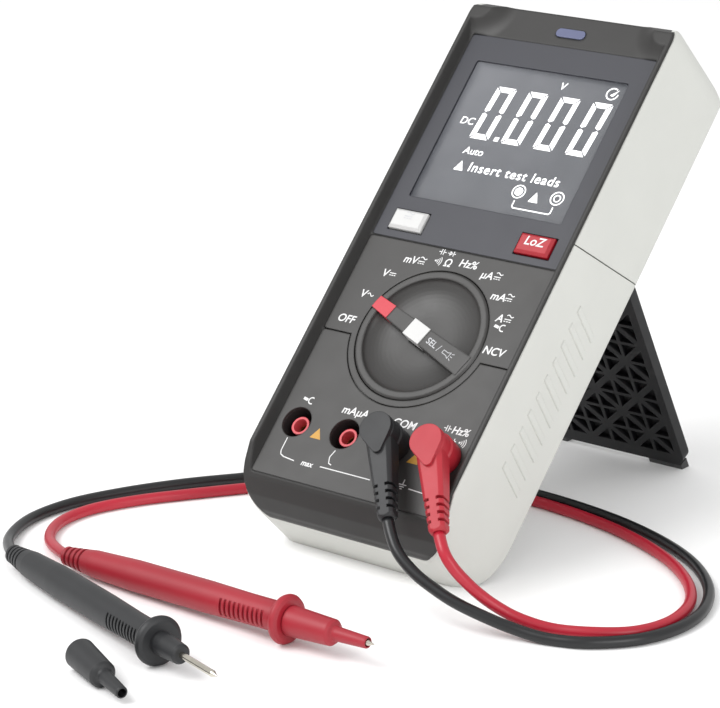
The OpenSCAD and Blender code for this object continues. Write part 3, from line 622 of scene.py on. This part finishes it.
def dial_spot(angle, radius=LABEL_RADIUS):
    turn = math.radians(angle)
    return DIAL_CENTRE[0] + radius * math.cos(turn), DIAL_CENTRE[1] + radius * math.sin(turn)


def legend(ink, words, u, v, height=2.6):
    ink.text(words, (u, v), height, slant=SLANT, weight=BOLD)


def draw_dial_labels():
    ink = Print("dial_legends", INK_WHITE, INK_LIFT, slot="key_white")
    legend(ink, "OFF", *dial_spot(180, 29.5))
    u, v = dial_spot(160)
    legend(ink, "V", u - 1.2, v)
    wave_sign(ink, u + 1.6, v)
    u, v = dial_spot(140)
    legend(ink, "V", u - 2, v)
    steady_sign(ink, u + 0.9, v)
    u, v = dial_spot(120)
    legend(ink, "mV", u - 2.8, v)
    both_sign(ink, u + 1.4, v)
    u, v = dial_spot(100)
    capacitor_sign(ink, u - 1.9, v + 1.4)
    diode_sign(ink, u + 1.6, v + 1.4)
    sound_sign(ink, u - 2, v - 2)
    legend(ink, "Ω", u + 1.7, v - 2)
    u, v = dial_spot(80)
    legend(ink, "Hz%", u - 0.6, v - 1)
    for angle, word in ((60, "µA"), (40, "mA")):
        u, v = dial_spot(angle)
        legend(ink, word, u - 1.6, v)
        both_sign(ink, u + 2.4, v)
    u, v = dial_spot(20)
    legend(ink, "A", u - 2.4, v + 1.6)
    both_sign(ink, u + 0.6, v + 1.6)
    clamp_sign(ink, u - 1, v - 1.6)
    u, v = dial_spot(0, 29.5)
    legend(ink, "NCV", u - 1.8, v)
    ink.done()


BAR_N = 0.7
BAR_TURN = -20


def draw_bar_labels():
    """The push button's name and a torch on the far half of the finger bar."""
    ink = Print("bar_legends", INK_GREY, BAR_N + INK_LIFT, body="selector", slot="key_white")
    ink.text("SEL", dial_spot(BAR_TURN, 6), 2.1, turn=BAR_TURN, weight=0.04)
    ink.text("/", dial_spot(BAR_TURN, 9.6), 2.4, turn=BAR_TURN)
    lamp_sign(ink, *dial_spot(BAR_TURN, 13.8), BAR_TURN)
    ink.done()


def key_spot(node):
    """The middle of a key's top in face millimetres."""
    low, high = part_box(node)
    middle = ((Vector(low) + Vector(high)) / 2 - ORIGIN) / MM
    return middle.dot(RIGHT), middle.dot(UP)


KEY_N = 1.6


def draw_key_labels():
    ink = Print("loz_legend", INK_WHITE, KEY_N + INK_LIFT, body="loz_button", slot="key_white")
    u, v = key_spot("loz_key")
    ink.text("LoZ", (u, v + 0.9), 3, slant=SLANT, weight=BOLD)
    ink.done()
    mark = Print("white_key_mark", INK_GREY, KEY_N + INK_LIFT, body="white_button",
                 slot="light_shell")
    u, v = key_spot("white_key")
    both_sign(mark, u, v + 1, 3)
    mark.done()


def draw_jack_labels():
    ink = Print("jack_legends", INK_WHITE, INK_LIFT, slot="key_white")
    clamp_sign(ink, -28.2, 8)
    legend(ink, "mAµA", -9.5, 8)
    legend(ink, "COM", 9.5, 8)
    capacitor_sign(ink, 25, 10)
    legend(ink, "Hz%", 29.8, 10, 2.4)
    legend(ink, "VΩ", 24, 6.4, 2.4)
    diode_sign(ink, 28.4, 6.4)
    sound_sign(ink, 32.2, 6.4)
    ink.line([(-28.9, -5.8), (-28.9, -10.4), (-28.4, -11.6), (-27, -12.2), (-22.5, -12.7)], 0.35)
    ink.line([(-12.3, -12.4), (7.2, -12.4)], 0.35)
    ink.line([(-9.7, -6), (-10.6, -8.6), (-9.9, -10.6), (-8.7, -11)], 0.35)
    ink.line([(19, -9.4), (19, -11.2)], 0.32)
    for k in range(3):
        ink.line([(17.6 + 0.5 * k, -11.2 - 0.7 * k), (20.4 - 0.5 * k, -11.2 - 0.7 * k)], 0.3)
    ink.line([(21.6, -12), (30, -12.4)], 0.35)
    legend(ink, "max", -17.4, -12.5, 1.8)
    ink.done()
    yellow = Print("jack_marks", INK_YELLOW, INK_LIFT, slot="contact_brass")
    for u in (-19.1, 18.6):
        yellow.fill([(u - 2.1, -3.9), (u + 2.1, -3.9), (u, -0.2)])
    yellow.done()


draw_display()
draw_dial_labels()
draw_bar_labels()
draw_key_labels()
draw_jack_labels()

# ---------------------------------------------------------------- grip bars on the side walls

WALL_U = 39.5
GRIP_PITCH = 6.2
GRIP_COUNT = 10
GRIP_FIRST_V = 4
GRIP_N = (-28, -14)
GRIP_RISE = 0.5


def side_grips(side):
    """Slanted bars moulded on one side wall of the lower shell."""
    vertices, faces = [], []
    for k in range(GRIP_COUNT):
        v = GRIP_FIRST_V + GRIP_PITCH * k
        start = len(vertices)
        for rise, inset in ((-0.2, 0), (GRIP_RISE * 0.6, 0.15), (GRIP_RISE, 0.5)):
            low, high = GRIP_N[0] + inset, GRIP_N[1] - inset
            for dv, n in ((inset, low), (2.6 - inset, low), (5.6 - inset, high), (3 + inset, high)):
                vertices.append(on_face(side * (WALL_U + rise), v + dv, n))
        for ring in (0, 4):
            for j in range(4):
                a, b = start + ring + j, start + ring + (j + 1) % 4
                faces.append((a, b, b + 4, a + 4)[::side])
        faces.append(tuple(range(start + 8, start + 12))[::side])
    name = "side_grips_right" if side > 0 else "side_grips_left"
    grips = new_mesh(name, vertices, faces, MATERIALS["light_shell"], smooth=False)
    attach(grips, "meter")


for wall in (1, -1):
    side_grips(wall)

# ---------------------------------------------------------------- studio


def area_light(name, place, target, size, power, colour=(1, 1, 1)):
    data = bpy.data.lights.new(name, "AREA")
    data.shape = "DISK"
    data.size = size
    data.energy = power
    data.color = colour
    return aimed(bpy.data.objects.new(name, data), Vector(place), Vector(target))


def add_studio():
    world = bpy.data.worlds.new("studio")
    world.use_nodes = True
    world.node_tree.nodes["Background"].inputs["Color"].default_value = (1, 1, 1, 1)
    world.node_tree.nodes["Background"].inputs["Strength"].default_value = 0.85
    bpy.context.scene.world = world
    centre = (0, 0, 0.08)
    area_light("key", (-0.5, -0.8, 1.1), centre, 0.9, 14)
    area_light("fill", (1.2, -0.5, 0.6), centre, 0.8, 6)
    floor = new_mesh("studio_floor", [(-4, -4, 0), (4, -4, 0), (4, 4, 0), (-4, 4, 0)],
                     [(0, 1, 2, 3)], moulded("studio_paper", "fbfbfb", 0.7, mottle=0.004))


add_studio()
